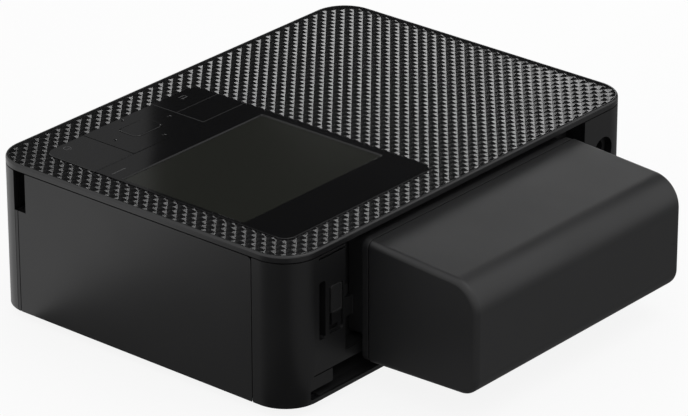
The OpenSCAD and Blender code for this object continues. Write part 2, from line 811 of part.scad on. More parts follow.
module power_board() {
    z = jack_z - 6.5;
    color(board_c) {
        block([-87.5, -67.5], [back_y - 44, back_y - 10], [z - 1.2, z]);
        block([-81.5, -67.5], [back_y - 11, back_y - 3.2], [z - 1.2, z]);
        post(-82, back_y - 32, [z, z + 10], 3.5);
        post(-74, back_y - 32, [z, z + 10], 3.5);
        block([-86, -70], [back_y - 25, back_y - 18], [z, z + 5]);
    }
}

module main_board() {
    color(board_c) {
        block([-87, -53], [front_y + 14, back_y - 15], [48.4, 49.6]);
        block([-78, -64], [front_y + 40, front_y + 54], [49.6, 51]);
        block([-78, -68], [front_y + 64, front_y + 73], [49.6, 50.8]);
        block([-60, -55], [front_y + 30, front_y + 50], [49.6, 53]);
        block([-60, -55], [front_y + 70, front_y + 96], [49.6, 53]);
        for (y = [20, 28]) post(-80, front_y + y, [49.6, 53.4], 3);
    }
}

module io_board() {
    color(board_c) block([-half_w + 3.2, -72], [usb_y[0] - 6, usb_y[1] + 6],
        [usb_z[0] - 1.4, usb_z[0] - 0.2]);
}

module usb_port() {
    x = [-half_w + 0.4, -half_w + 8.4];
    color(steel_c) {
        difference() {
            slot_x(x, [usb_y[0] + 0.2, usb_y[1] - 0.2], [usb_z[0] + 0.2, usb_z[1] - 0.2], 1.5);
            slot_x([x[0] - 1, x[1] - 1.2], [usb_y[0] + 0.6, usb_y[1] - 0.6],
                [usb_z[0] + 0.6, usb_z[1] - 0.6], 1.1);
        }
        block([x[0] + 1.2, x[1] - 1], [usb_y[0] + 1.4, usb_y[1] - 1.4], [11.7, 12.3]);
        block([x[0] + 2, x[1]], [usb_y[0] + 1.6, usb_y[1] - 1.6], [usb_z[0] - 0.2, usb_z[0] + 0.3]);
    }
}

module card_socket() {
    color(steel_c) difference() {
        block([card_x[0] - 1, card_x[1] + 1], [in_front, card_end], [card_z[0] - 1.2, card_z[1] + 1.2]);
        block([card_x[0] + 0.2, card_x[1] - 0.2], [front_y, card_end - 1.2],
            [card_z[0] + 0.2, card_z[1] - 0.2]);
    }
    color(board_c) block([card_x[0] - 1, card_x[1] + 1], [in_front + 1, card_end],
        [card_z[0] - 2.4, card_z[0] - 1.2]);
}

// ---- chassis ----

module left_frame() {
    color(steel_c) difference() {
        union() {
            side_plate(frame_l, [[front_y + 25, floor_z], [back_y - 11, floor_z],
                [back_y - 11, 47.5], [front_y + 25, 47.5]]);
            block([frame_l[0] - 7, frame_l[1]], [front_y + 30, front_y + 44], [floor_z, floor_z + 1.2]);
            // riveted studs that two gears turn on
            for (p = [red_at, idler_at]) rod([layer_a[0] - 0.8, frame_l[1]], p, 1.5);
        }
        for (p = [platen_at, cap_at, pinch_at, pick_at, hub_at, supply_at])
            rod([frame_l[0] - 1, frame_l[1] + 1], p, bush_r);
        rod([frame_l[0] - 1, frame_l[1] + 1], head_at, 2 + fit);
        for (p = bracket_posts) rod([frame_l[0] - 1, frame_l[1] + 1], p, 1.5);
    }
}

module right_frame() {
    color(steel_c) difference() {
        side_plate(frame_r, [[front_y + 28, floor_z], [back_y - 12, floor_z], [back_y - 12, 21.8],
            [front_y + 86, 21.8], [front_y + 77, deck_z + 1.2], [front_y + 28, deck_z + 1.2]]);
        for (p = [platen_at, cap_at, pick_at]) rod([frame_r[0] - 1, frame_r[1] + 1], p, bush_r);
        rod([frame_r[0] - 1, frame_r[1] + 1], pinch_at, bush_r);
        rod([frame_r[0] - 1, frame_r[1] + 1], head_at, 2 + fit);
        rod([frame_r[0] - 1, frame_r[1] + 1], lever_at, 1.5);
    }
}

module front_deck() {
    color(dark_c) {
        block([frame_l[1], frame_r[0]], [front_y + 24.2, front_y + 46], [deck_z, deck_z + 1.5]);
        block([frame_l[1] + 1, frame_r[0] - 1], [front_y + 14, front_y + 24.2], [deck_z + 2, deck_z + 3.2]);
        block([frame_l[1] + 1, frame_r[0] - 1], [front_y + 23, front_y + 24.2], [deck_z, deck_z + 3.2]);
    }
}

guide_x = [-46, 76];
guide_z = exit_z[0] + 0.1;
end_x = [68.4, 79.7];

module paper_guide() {
    color(dark_c) {
        side_plate(guide_x, [[back_y - 27, 11.2], [back_y - 27, 10], [back_y - 8.6, floor_z],
            [back_y - 6.8, floor_z], [back_y - 6.8, guide_z], [back_y - 0.6, guide_z],
            [back_y - 0.6, guide_z + 0.15], [back_y - 4.2, guide_z + 0.4], [back_y - 6.4, guide_z + 1.2]]);
        for (x = [-44, -10, 24, 58])
            side_plate([x, x + 1.5], [[back_y - 26, 10], [back_y - 26, floor_z], [back_y - 8.6, floor_z]]);
        // block at the end of the paper slot
        block([end_x[0], guide_x[1]], [back_y - 12, back_y - 4.2], [floor_z + 0.1, exit_z[1] - 0.4]);
        block(end_x, [back_y - 4.3, back_y - 1.2], [7, exit_z[1] - 0.4]);
    }
}

module roller_bushes() {
    color(brass_c) {
        for (p = [platen_at, cap_at, pick_at]) {
            bush([frame_l[0] - 0.4, frame_l[1] + 0.4], p, shaft_r + fit);
            bush([frame_r[0] - 0.4, frame_r[1] + 0.4], p, shaft_r + fit);
        }
        bush([frame_l[0] - 0.4, frame_l[1] + 0.4], pinch_at, 2 + fit);
        bush([frame_r[0] - 0.4, frame_r[1] + 0.4], pinch_at, 2 + fit);
        bush([frame_l[0] - 0.4, frame_l[1] + 0.4], hub_at, shaft_r + fit);
        bush([frame_l[0] - 0.4, frame_l[1] + 0.4], supply_at, shaft_r + fit);
    }
}

module bush(x, at, bore) {
    difference() {
        rod(x, at, bush_r);
        rod([x[0] - 1, x[1] + 1], at, bore);
    }
}

bracket_posts = [[motor_at[0] - 6, motor_at[1] + 15], [motor_at[0] + 9, motor_at[1] + 13]];
bracket_x = [-62.2, -61.2];
motor_r = 12;

module motor_bracket() {
    color(steel_c) {
        difference() {
            side_plate(bracket_x, [[motor_at[0] - 14, motor_at[1] - 14], [motor_at[0] + 13, motor_at[1] - 14],
                [motor_at[0] + 13, motor_at[1] + 17], [motor_at[0] - 14, motor_at[1] + 17]]);
            rod([bracket_x[0] - 1, bracket_x[1] + 1], motor_at, 3);
        }
        for (p = bracket_posts) rod([bracket_x[1], frame_l[1]], p, 1.5);
    }
}

module feed_motor() {
    color(steel_c) difference() {
        union() {
            rod([bracket_x[0] - 24, bracket_x[0]], motor_at, motor_r);
            rod([bracket_x[0] - 25.2, bracket_x[0] - 24], motor_at, 4);
        }
        rod([bracket_x[0] - 8, bracket_x[0] + 1], motor_at, 1 + fit);
    }
}

module motor_pinion() {
    color(brass_c) {
        gear(layer_a, motor_at, n_pinion, ph_motor);
        rod([bracket_x[0] - 7.5, layer_a[0] + 0.1], motor_at, 1);
    }
}

module reduction_gear() {
    color(white_c) difference() {
        union() {
            gear(layer_a, red_at, n_big, ph_big);
            gear(layer_b, red_at, n_small, ph_small);
            rod([layer_a[0], frame_l[0] - 0.8], red_at, 2.6);
        }
        rod([layer_a[0] - 1, frame_l[0]], red_at, 1.5 + fit);
    }
}

module idler_gear() {
    color(white_c) difference() {
        union() {
            gear(layer_a, idler_at, n_idler, ph_idler);
            rod([layer_a[0], frame_l[0] - 0.8], idler_at, 3);
        }
        rod([layer_a[0] - 1, frame_l[0]], idler_at, 1.5 + fit);
        for (a = [0 : 60 : 300])
            rod([layer_a[0] - 1, layer_a[1] + 1], step_to(idler_at, a, 8.5), 2.6);
    }
}

module capstan_roller() {
    color(steel_c) {
        rod([frame_l[1] + 1, frame_r[0] - 1], cap_at, 3.5);
        rod([layer_b[0] - 0.5, frame_r[1] + 1], cap_at, shaft_r);
    }
}

module capstan_gear() {
    color(white_c) difference() {
        gear(layer_b, cap_at, n_cap, ph_cap);
        rod([layer_b[0] - 1, layer_b[1] + 1], cap_at, shaft_r);
    }
}

module platen_shaft() {
    color(steel_c) rod([frame_l[0] - 1.5, frame_r[1] + 1], platen_at, shaft_r);
}

module platen_roller() {
    color(rubber_c) difference() {
        rod([paper_x - 57, paper_x + 57], platen_at, platen_r);
        rod([paper_x - 60, paper_x + 60], platen_at, shaft_r);
    }
}

module pinch_roller() {
    color(steel_c) {
        rod([paper_x - 52, paper_x + 52], pinch_at, 3.5);
        rod([frame_l[0] - 0.8, frame_r[1] + 1], pinch_at, 2);
    }
}

module pickup_shaft() {
    color(steel_c) {
        rod([layer_a[0], frame_r[1] + 1], pick_at, shaft_r);
        gear(layer_a, pick_at, n_pick, ph_pick);
    }
}

pickup_r = 6.5;

module pickup_tyres() {
    color(rubber_c) for (x = [paper_x - 22, paper_x + 10]) difference() {
        rod([x, x + 12], pick_at, pickup_r);
        rod([x - 1, x + 13], pick_at, shaft_r);
    }
}

// Splined drive that a ribbon spool sits on
module spool_drive(at) {
    rod([frame_l[1] + 0.8, frame_l[1] + 7], at, 4);
    for (a = [0 : 60 : 300])
        translate([0, at[0], at[1]]) rotate([a, 0, 0])
            block([frame_l[1] + 2, frame_l[1] + 6.6], [-0.5, 0.5], [0, 5.2]);
}

module takeup_hub() {
    color(white_c) {
        spool_drive(hub_at);
        rod([layer_a[0], frame_l[1] + 1], hub_at, shaft_r);
        gear(layer_a, hub_at, n_hub, ph_hub);
    }
}

module supply_hub() {
    color(white_c) {
        spool_drive(supply_at);
        rod([frame_l[0] - 4, frame_l[1] + 1], supply_at, shaft_r);
        rod([frame_l[0] - 5.2, frame_l[0] - 4], supply_at, 4);
    }
}

arm_x = [[-47, -45.8], [75, 76.2]];

module head_arm() {
    beam_z = 29;
    color(steel_c) {
        for (a = arm_x)
            side_plate(a, [[head_at[0] - 3, 27], [head_y[1], 22], [head_y[1], beam_z + 1.2],
                [head_at[0] + 4, 33], [head_at[0] - 3, 33]]);
        block([arm_x[0][0], arm_x[1][1]], [head_y[0] - 1, head_y[1]], [beam_z, beam_z + 1.2]);
        rod([frame_l[0] - 0.6, arm_x[0][0]], head_at, 2);
        rod([arm_x[1][1], frame_r[1] + 0.6], head_at, 2);
    }
}

module thermal_head() {
    z0 = platen_at[1] + platen_r + head_gap;
    color(steel_c) {
        block([paper_x - 56, paper_x + 56], head_y, [z0 + 3, 25.5]);
        for (i = [0 : 4])
            block([paper_x - 56, paper_x + 56], [head_y[0] + 0.4 + i * 3, head_y[0] + 1.6 + i * 3],
                [25.4, 29]);
        block([paper_x - 54, paper_x + 54], [head_y[0] + 2, head_y[1] - 1], [z0 + 0.6, z0 + 3]);
        rod([paper_x - 54, paper_x + 54], [platen_at[0], z0 + 1], 1);
    }
}

lever_at = [front_y + 40.85, 30];

module eject_lever() {
    x = [frame_r[1] + 0.4, frame_r[1] + 2];
    color(dark_c) {
        rod([frame_r[0], frame_r[1] + 0.4], lever_at, 1.5 - fit);
        rod(x, lever_at, 3);
        side_plate(x, [[lever_at[0] - 2, lever_at[1]], [lever_at[0] + 2, lever_at[1]],
            [lever_at[0] + 1.6, lever_at[1] - 14], [lever_at[0] - 1.6, lever_at[1] - 14]]);
        block([x[0], x[1] + 2.4], [lever_at[0] - 2, lever_at[0] + 2], [lever_at[1] - 16, lever_at[1] - 12.5]);
    }
}

// ---- battery ----

top_slope = 0.066;
low_slope = 0.032;
outer_r = 9.5;
under_r = 6.5;
end_r = 2.2;
groove = 0.35;
base_t = 2.5;
shell_y = back_y + base_t + groove;

function top_at(y) = batt_top - top_slope * (y - back_y - base_t);
function low_at(y) = batt_low + low_slope * (y - back_y - 9.5);
function arc(c, r, a0, a1, n) = [for (i = [0 : n]) [c[0] + r * cos(a0 + (a1 - a0) * i / n),
    c[1] + r * sin(a0 + (a1 - a0) * i / n)]];

// Side view of the battery as [y, z] points, brought in by an inset
function batt_side(inset) =
    let (yt = batt_y - outer_r, yb = batt_y - under_r,
        ct = [yt, top_at(yt) - outer_r * norm([1, top_slope])],
        cb = [yb, low_at(yb) + under_r * norm([1, low_slope])])
    concat([[shell_y, low_at(shell_y) + inset]],
        arc(cb, under_r - inset, -90 + atan(low_slope), 0, 8),
        arc(ct, outer_r - inset, 0, 90 - atan(top_slope), 12),
        [[shell_y, top_at(shell_y) - inset]]);

module battery_shell() {
    steps = 4;
    color(satin_c) difference() {
        hull() for (s = [-1, 1], k = [0 : steps]) {
            a = 90 * k / steps;
            x = s * (batt_w / 2 - end_r * (1 - sin(a)));
            side_plate([x - 0.005, x + 0.005], batt_side(end_r * (1 - cos(a))));
        }
        side_plate([-batt_w / 2 + batt_wall, batt_w / 2 - batt_wall], batt_side(batt_wall));
    }
}

module battery_base() {
    color(satin_c) difference() {
        union() {
            upright([-batt_w / 2, batt_w / 2], [back_y, back_y + base_t],
                [low_at(back_y + base_t), batt_top], 3);
            upright([-batt_w / 2 + 2, batt_w / 2 - 2], [bay_y + 0.55, back_y + 0.5],
                [bay_z0 + 1.3, batt_top - 0.7], 2);
            // spigot that the shell fits over
            upright([-batt_w / 2 + 2, batt_w / 2 - 2], [back_y + base_t - 0.5, shell_y + 1.6],
                [low_at(shell_y) + 2.1, batt_top - 2.1], 1.5);
            // lug that the lock's tongue drops behind
            block([batt_w / 2 - 3, 62], [bay_y + 0.55, bay_y + 2.2], [24, 31]);
        }
        block([-batt_w / 2 + 5, batt_w / 2 - 5], [back_y + 0.6, shell_y + 2], [bay_z0 + 4, batt_top - 5]);
        block([-21, 21], [bay_y, bay_y + 5], [blade_z[0] - 1.5, blade_z[1] + 1.5]);
    }
}

cell_r = 9;
cell_spots = [[back_y + 13.5, 21], [back_y + 13.5, 40], [back_y + 31.5, 30.5]];

module battery_cells() {
    color([0.20, 0.36, 0.55]) for (c = cell_spots)
        for (x = [-50.6, 0.6]) {
            rod([x, x + 50], c, cell_r);
        }
}

// Protection circuit behind the cover, and the fork contacts that grip the bay's blades
module battery_board() {
    color(board_c) {
        block([-44, 44], [back_y + 1.2, back_y + 2.4], [bay_z0 + 6, batt_top - 7]);
        block([-30, -12], [back_y + 2.4, back_y + 3.8], [24, 36]);
    }
    color(brass_c) for (x = blade_x) {
        block([x - 1.3, x - 0.7], [bay_y + 1.8, bay_y + 5], blade_z);
        block([x + 0.7, x + 1.3], [bay_y + 1.8, bay_y + 5], blade_z);
        block([x - 1.3, x + 1.3], [bay_y + 4.4, bay_y + 5], blade_z);
    }
}

bottom_cover();
main_shell();
rear_post();
rear_sill();
door_frame();
front_shell();
top_bezel();
top_plate();
panel_window();
panel_tray();
lcd_module();
lcd_glass();
key_board();
power_key();
return_key();
menu_key();
nav_ring();
nav_plate();
ok_button();
ink_door();
ink_door_pins();
paper_door();
paper_door_pins();
bay_plate();
bay_terminals();
lock_slider();
dc_jack();
power_board();
main_board();
io_board();
usb_port();
card_socket();
left_frame();
right_frame();
front_deck();
paper_guide();
roller_bushes();
motor_bracket();
feed_motor();
motor_pinion();
reduction_gear();
idler_gear();
capstan_roller();
capstan_gear();
platen_shaft();
platen_roller();
pinch_roller();
pickup_shaft();
pickup_tyres();
takeup_hub();
supply_hub();
head_arm();
thermal_head();
eject_lever();
feet();
case_screws();
battery_base();
battery_shell();
battery_cells();
battery_board();
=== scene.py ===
import json
import math

import bmesh
import bpy
from mathutils import Matrix, Vector

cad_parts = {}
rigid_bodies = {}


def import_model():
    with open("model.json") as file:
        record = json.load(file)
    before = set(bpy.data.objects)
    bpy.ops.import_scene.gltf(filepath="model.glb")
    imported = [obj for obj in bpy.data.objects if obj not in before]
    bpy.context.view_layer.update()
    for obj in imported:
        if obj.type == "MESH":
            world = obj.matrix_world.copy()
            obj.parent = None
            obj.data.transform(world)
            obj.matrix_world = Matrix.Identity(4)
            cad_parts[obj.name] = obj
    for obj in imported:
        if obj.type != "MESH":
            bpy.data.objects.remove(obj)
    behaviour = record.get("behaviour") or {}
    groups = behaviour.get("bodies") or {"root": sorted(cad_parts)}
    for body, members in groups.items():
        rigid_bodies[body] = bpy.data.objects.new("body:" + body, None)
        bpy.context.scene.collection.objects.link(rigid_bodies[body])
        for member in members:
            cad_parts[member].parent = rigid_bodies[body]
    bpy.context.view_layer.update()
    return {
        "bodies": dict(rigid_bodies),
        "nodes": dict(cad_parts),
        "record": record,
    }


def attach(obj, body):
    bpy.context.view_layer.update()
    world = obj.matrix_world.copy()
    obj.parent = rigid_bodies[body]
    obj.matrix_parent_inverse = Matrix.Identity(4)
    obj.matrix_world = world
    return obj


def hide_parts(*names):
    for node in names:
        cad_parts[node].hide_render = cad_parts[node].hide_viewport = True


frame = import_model()

# Every size below is in millimetres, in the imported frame: front is -Y, the ink door is at +X, up is +Z.
MM = 0.001
HALF_W = 91.1
FRONT_Y = -90.35
BACK_Y = 42.65
CORNER_R = 13.0
BAND_Z = (55.1, 57.6)
BAND_ROUND = 0.9
BAND_LEDGE = 3.4
RIM = 1.0
PANEL_X = (2.6, 78.2)
PANEL_Y = (-77.85, 30.45)
PANEL_Z = (56.1, 57.3)
PANEL_R = 4.5
PANEL_EDGE = 0.2
KEY_LINE_Y = -53.95
KEY_GAP = 0.15
KEY_ROUND = 0.28
SCREEN_X = (6.2, 76.6)
SCREEN_Y = (-43.15, 10.65)
SCREEN_DEPTH = 0.5
SCREEN_R = 0.6
# Cutters run from below every part of the lid to above it.
CUT_Z = (50, 60)
# Corners of a CAD mesh closer than this are one corner, and faces within this many degrees one flat face.
WELD = 0.002
FLAT_DEGREES = 0.6


# ---- working in Blender ----

def only(obj):
    """Makes obj the one selected and active object."""
    bpy.ops.object.select_all(action="DESELECT")
    obj.select_set(True)
    bpy.context.view_layer.objects.active = obj


def named(name):
    """Names the object just added, and puts its place and size into its mesh."""
    obj = bpy.context.object
    obj.name = name
    obj.data.name = name
    only(obj)
    bpy.ops.object.transform_apply(location=True, rotation=True, scale=True)
    return obj


def block(name, low, high):
    middle = [(a + b) / 2 * MM for a, b in zip(low, high)]
    size = [(b - a) * MM for a, b in zip(low, high)]
    bpy.ops.object.select_all(action="DESELECT")
    bpy.ops.mesh.primitive_cube_add(size=1, location=middle, scale=size)
    return named(name)


def drum(name, middle, radius, depth, sides=32):
    bpy.ops.object.select_all(action="DESELECT")
    bpy.ops.mesh.primitive_cylinder_add(vertices=sides, radius=radius * MM, depth=depth * MM,
                                        location=[v * MM for v in middle])
    return named(name)


def choose(obj, part, test):
    """In edit mode, selects the verts or edges whose corners, in mm, pass the test."""
    only(obj)
    bpy.ops.object.mode_set(mode="EDIT")
    bpy.ops.mesh.select_mode(type={"verts": "VERT", "edges": "EDGE"}[part])
    bpy.ops.mesh.select_all(action="DESELECT")
    mesh = bmesh.from_edit_mesh(obj.data)
    for item in getattr(mesh, part):
        points = [item] if part == "verts" else item.verts
        if test([v.co / MM for v in points]):
            item.select_set(True)
    mesh.select_flush_mode()
    bmesh.update_edit_mesh(obj.data)


def done():
    bpy.ops.object.mode_set(mode="OBJECT")


def bevel_edges(obj, test, width, segments):
    choose(obj, "edges", test)
    bpy.ops.mesh.bevel(offset=width * MM, segments=segments, affect="EDGES", profile=0.5)
    done()


def along(axis):
    """A test for edges that run along one axis, 0, 1 or 2."""
    def test(ends):
        edge = ends[0] - ends[1]
        return edge.length > 0.01 and abs(edge[axis]) > 0.999 * edge.length
    return test


def rounded_block(name, low, high, radius, segments=12, axis=2):
    obj = block(name, low, high)
    bevel_edges(obj, along(axis), radius, segments)
    return obj


def cut(obj, cutter, operation="DIFFERENCE", solver="EXACT"):
    only(obj)
    step = obj.modifiers.new("cut", "BOOLEAN")
    step.operation = operation
    step.object = cutter
    step.solver = solver
    bpy.ops.object.modifier_apply(modifier=step.name)
    bpy.data.objects.remove(cutter)
    return obj


def join(obj, *others):
    only(obj)
    for other in others:
        other.select_set(True)
    bpy.ops.object.join()
    return obj


def smooth(obj, degrees=35):
    """Shades round stretches as round, while the broad faces beside them stay flat."""
    only(obj)
    bpy.ops.object.shade_smooth_by_angle(angle=math.radians(degrees))
    step = obj.modifiers.new("flat_faces", "WEIGHTED_NORMAL")
    step.keep_sharp = True
    bpy.ops.object.modifier_apply(modifier=step.name)
    return obj


def eased(obj, width, segments=2, degrees=40):
    """Breaks the sharp edges of a piece, as a moulding's edges are."""
    only(obj)
    step = obj.modifiers.new("ease", "BEVEL")
    step.width = width * MM
    step.segments = segments
    step.limit_method = "ANGLE"
    step.angle_limit = math.radians(degrees)
    step.harden_normals = False
    bpy.ops.object.modifier_apply(modifier=step.name)
    return smooth(obj)


def from_cad(node, name):
    """A copy of a CAD node with its loose triangles joined into flat faces."""
    obj = bpy.data.objects.new(name, frame["nodes"][node].data.copy())
    obj.data.name = name
    bpy.context.scene.collection.objects.link(obj)
    only(obj)
    bpy.ops.object.mode_set(mode="EDIT")
    bpy.ops.mesh.select_all(action="SELECT")
    bpy.ops.mesh.remove_doubles(threshold=WELD * MM)
    bpy.ops.mesh.dissolve_limited(angle_limit=math.radians(FLAT_DEGREES))
    bpy.ops.object.mode_set(mode="OBJECT")
    if obj.data.has_custom_normals:
        bpy.ops.mesh.customdata_custom_splitnormals_clear()
    return obj


def finish_piece(obj, body, slot, material, *nodes):
    obj.data.materials.clear()
    obj.data.materials.append(material)
    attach(obj, body)
    if nodes:
        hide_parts(*nodes)
    return obj


# ---- materials ----

def linear(hex_code):
    """An sRGB hex colour as linear numbers, opaque."""
    values = [int(hex_code[i:i + 2], 16) / 255 for i in (1, 3, 5)]
    return [v / 12.92 if v <= 0.04045 else ((v + 0.055) / 1.055) ** 2.4 for v in values] + [1.0]


def add(tree, kind, links=(), inputs=(), **settings):
    """Adds a node with its settings, its own input values and its links (input, node, output)."""
    node = tree.nodes.new(kind)
    for key, value in settings.items():
        setattr(node, key, value)
    for key, value in dict(inputs).items():
        node.inputs[key].default_value = value
    for target, source, output in links:
        tree.links.new(source.outputs[output], node.inputs[target])
    return node


# Size in mm, and share, of the slow change in gloss over every surface.
HAZE = 28
HAZE_SHARE = 0.07


def grained(name, dark, light, grain, bump, rough, metallic=0.0, ior=1.5, stretch=(1, 1, 1)):
    """A finish whose colour and surface vary with a grain of a real size in mm."""
    mat = bpy.data.materials.new(name)
    mat.use_nodes = True
    tree = mat.node_tree
    shader = tree.nodes["Principled BSDF"]
    shader.inputs["Metallic"].default_value = metallic
    shader.inputs["IOR"].default_value = ior
    place = add(tree, "ShaderNodeTexCoord")
    scaled = add(tree, "ShaderNodeMapping", [("Vector", place, "Object")], {"Scale": stretch})
    fine = add(tree, "ShaderNodeTexNoise", [("Vector", scaled, "Vector")],
               {"Scale": 1 / (grain * MM), "Detail": 3.0, "Roughness": 0.6})
    broad = add(tree, "ShaderNodeTexNoise", [("Vector", place, "Object")],
                {"Scale": 1 / (HAZE * MM), "Detail": 2.0})
    blend = add(tree, "ShaderNodeMix", [("Factor", fine, "Fac")], data_type="RGBA")
    blend.inputs[6].default_value = linear(dark)
    blend.inputs[7].default_value = linear(light)
    tree.links.new(blend.outputs[2], shader.inputs["Base Color"])
    spread = add(tree, "ShaderNodeMapRange", [("Value", broad, "Fac")],
                 {"From Min": 0.3, "From Max": 0.7,
                  "To Min": rough * (1 - HAZE_SHARE), "To Max": rough * (1 + HAZE_SHARE)})
    tree.links.new(spread.outputs["Result"], shader.inputs["Roughness"])
    lift = add(tree, "ShaderNodeBump", [("Height", fine, "Fac")],
               {"Strength": 1.0, "Distance": bump * MM})
    tree.links.new(lift.outputs["Normal"], shader.inputs["Normal"])
    return mat


# Moulded ABS from a spark-eroded tool: a fine even grain that spreads the highlights.
# The real grain is about 0.1 mm, drawn at 0.35 mm so that it shows.
case_abs = grained("spark_grained_abs", "#0a0a0b", "#101011", 0.35, 0.004, 0.4)
# The same plastic from a polished tool; its colour is set a little lighter than the case's as a painted
# sheen, so the band along the rims looks brighter.
satin_abs = grained("satin_abs", "#111112", "#161617", 0.45, 0.003, 0.34)
# Battery's case: the same kind of plastic, a shade greyer, with a soft matt face.
battery_abs = grained("matt_battery_abs", "#161617", "#1a1a1b", 0.45, 0.003, 0.48)
# Lid relief, moulded with satin facets that flash when they face the light.
relief_abs = grained("relief_moulded_abs", "#0b0b0c", "#101011", 0.6, 0.0015, 0.25)
# Cast acrylic, hard-coated: near black, with a clear reflection.
acrylic = grained("hard_coated_acrylic", "#060607", "#080809", 1.2, 0.0001, 0.06)
# Screen glass over a dark liquid-crystal cell: slightly green-grey.
screen_mat = grained("lcd_cover_glass", "#1e1f1b", "#20211d", 2.0, 0.0002, 0.08)
# The power key's face is etched very finely, which makes it a shade greyer than the panel.
power_mat = grained("etched_acrylic", "#0f0f10", "#131314", 0.4, 0.0003, 0.1)
# Black inner mouldings, straight from a matt tool; also the colour of the painted shade block laid in the
# blind slot.
inner_abs = grained("matt_black_abs", "#0a0a0b", "#0f0f10", 0.5, 0.006, 0.6)
# Natural acetal gears: milky white and waxy.
acetal = grained("natural_acetal", "#d9d8d0", "#e4e3dc", 0.8, 0.002, 0.38, ior=1.48)
# Zinc-plated sheet: pale grey with a rolled grain along X.
zinc = grained("zinc_plated_sheet", "#a9abad", "#c0c2c4", 0.5, 0.003, 0.34, metallic=1.0,
               stretch=(0.08, 1, 1))
# Ground steel rod: bright, with fine rings round it.
ground_steel = grained("ground_steel", "#b4b6b8", "#c9cbcd", 0.3, 0.002, 0.24, metallic=1.0,
                       stretch=(1, 0.1, 0.1))
# Extruded aluminium heat sink.
extruded = grained("extruded_aluminium", "#b9babb", "#cacbcc", 0.4, 0.002, 0.35, metallic=1.0,
                   stretch=(0.05, 1, 1))
# Stamped brass contacts and bushes.
brass = grained("stamped_brass", "#b08d45", "#c6a35a", 0.6, 0.002, 0.3, metallic=1.0)
# Nitrile rubber, dull.
rubber = grained("nitrile_rubber", "#141414", "#1b1b1b", 0.5, 0.01, 0.78, ior=1.52)
# Green solder mask over glass-fibre board.
board = grained("solder_mask", "#12452c", "#185636", 1.0, 0.003, 0.35)
# Shrunk polyester sleeve round the cells.
sleeve = grained("shrink_sleeve", "#223a55", "#2b4867", 3.0, 0.004, 0.28)
# Grey pad-printed ink of the key signs.
ink = grained("pad_printed_ink", "#3a3a3b", "#424243", 0.3, 0.001, 0.5)

BY_SLOT = {
    "case_plastic": case_abs, "textured_plastic": relief_abs, "satin_plastic": satin_abs,
    "gloss_panel": acrylic, "screen_glass": screen_mat, "inner_plastic": inner_abs,
    "gear_plastic": acetal, "sheet_steel": zinc, "steel_rod": ground_steel, "aluminium": extruded,
    "brass": brass, "rubber": rubber, "circuit_board": board, "cell_wrap": sleeve,
}
for part in frame["record"]["subparts"]:
    data = frame["nodes"][part["node"]].data
    data.materials.clear()
    data.materials.append(BY_SLOT[part["material_slot"]])


# ---- lid with its pyramid relief ----

CELL_X = 5.17
CELL_Y = 4.275
VALLEY_Z = 56.85
TIP_RISE = 0.45
LID_BASE_Z = 55.6
MERGE = 0.02


def repeated(obj, count, step):
    only(obj)
    row = obj.modifiers.new("row", "ARRAY")
    row.count = count
    row.use_relative_offset = False
    row.use_constant_offset = True
    row.constant_offset_displace = [v * MM for v in step]
    row.use_merge_vertices = True
    row.merge_threshold = 0.01 * MM
    bpy.ops.object.modifier_apply(modifier=row.name)


def inside_rim(name, inset, base_z, segments):
    """A cutter with the outline of the case, moved in by an inset."""
    return rounded_block(name, (inset - HALF_W, FRONT_Y + inset, base_z),
                         (HALF_W - inset, BACK_Y - inset, CUT_Z[1]), CORNER_R - inset, segments)


def make_lid():
    # one pyramid on a diamond base
    bpy.ops.object.select_all(action="DESELECT")
    bpy.ops.mesh.primitive_circle_add(vertices=4, radius=MM / 2, fill_type="NGON")
    bpy.ops.transform.resize(value=(CELL_X, CELL_Y, 1))
    bpy.ops.transform.translate(value=((-HALF_W - CELL_X) * MM, (FRONT_Y - CELL_Y) * MM, VALLEY_Z * MM))
    lid = named("textured_lid")
    bpy.ops.object.mode_set(mode="EDIT")
    bpy.ops.mesh.select_all(action="SELECT")
    bpy.ops.mesh.poke(offset=TIP_RISE * MM)
    done()
    # rows and columns of it, and the same again half a cell across
    repeated(lid, int(2 * HALF_W / CELL_X) + 3, (CELL_X, 0, 0))
    repeated(lid, int((BACK_Y - FRONT_Y) / CELL_Y) + 3, (0, CELL_Y, 0))
    repeated(lid, 2, (CELL_X / 2, CELL_Y / 2, 0))
    bpy.ops.object.mode_set(mode="EDIT")
    bpy.ops.mesh.select_all(action="SELECT")
    bpy.ops.mesh.remove_doubles(threshold=MERGE * MM)
    # drawn down to a flat underside, which makes it a closed slab
    bpy.ops.mesh.extrude_region_move(
        TRANSFORM_OT_translate={"value": (0, 0, (LID_BASE_Z - VALLEY_Z) * MM)})
    bpy.ops.transform.resize(value=(1, 1, 0), center_override=(0, 0, LID_BASE_Z * MM))
    bpy.ops.mesh.select_all(action="SELECT")
    bpy.ops.mesh.normals_make_consistent(inside=False)
    done()
    # trimmed to the lid's outline, and opened for the panel
    cut(lid, inside_rim("outline", RIM, CUT_Z[0], 16), "INTERSECT", "MANIFOLD")
    cut(lid, rounded_block("opening", (PANEL_X[0], PANEL_Y[0], CUT_Z[0]), (PANEL_X[1], PANEL_Y[1], CUT_Z[1]),
                           PANEL_R), solver="MANIFOLD")
    return lid


finish_piece(make_lid(), "printer", "textured_plastic", relief_abs, "top_plate")


# ---- band round the top ----

def make_band():
    band = rounded_block("top_band", (-HALF_W, FRONT_Y, BAND_Z[0]), (HALF_W, BACK_Y, BAND_Z[1]), CORNER_R, 24)
    bevel_edges(band, lambda c: min(p.z for p in c) > BAND_Z[1] - 0.01, BAND_ROUND, 6)
    cut(band, inside_rim("inner", RIM, LID_BASE_Z, 24))
    cut(band, inside_rim("deep", RIM + BAND_LEDGE, CUT_Z[0], 16))
    return eased(band, 0.08, 1, 50)


finish_piece(make_band(), "printer", "satin_plastic", satin_abs, "top_bezel")


# ---- glossy panel ----

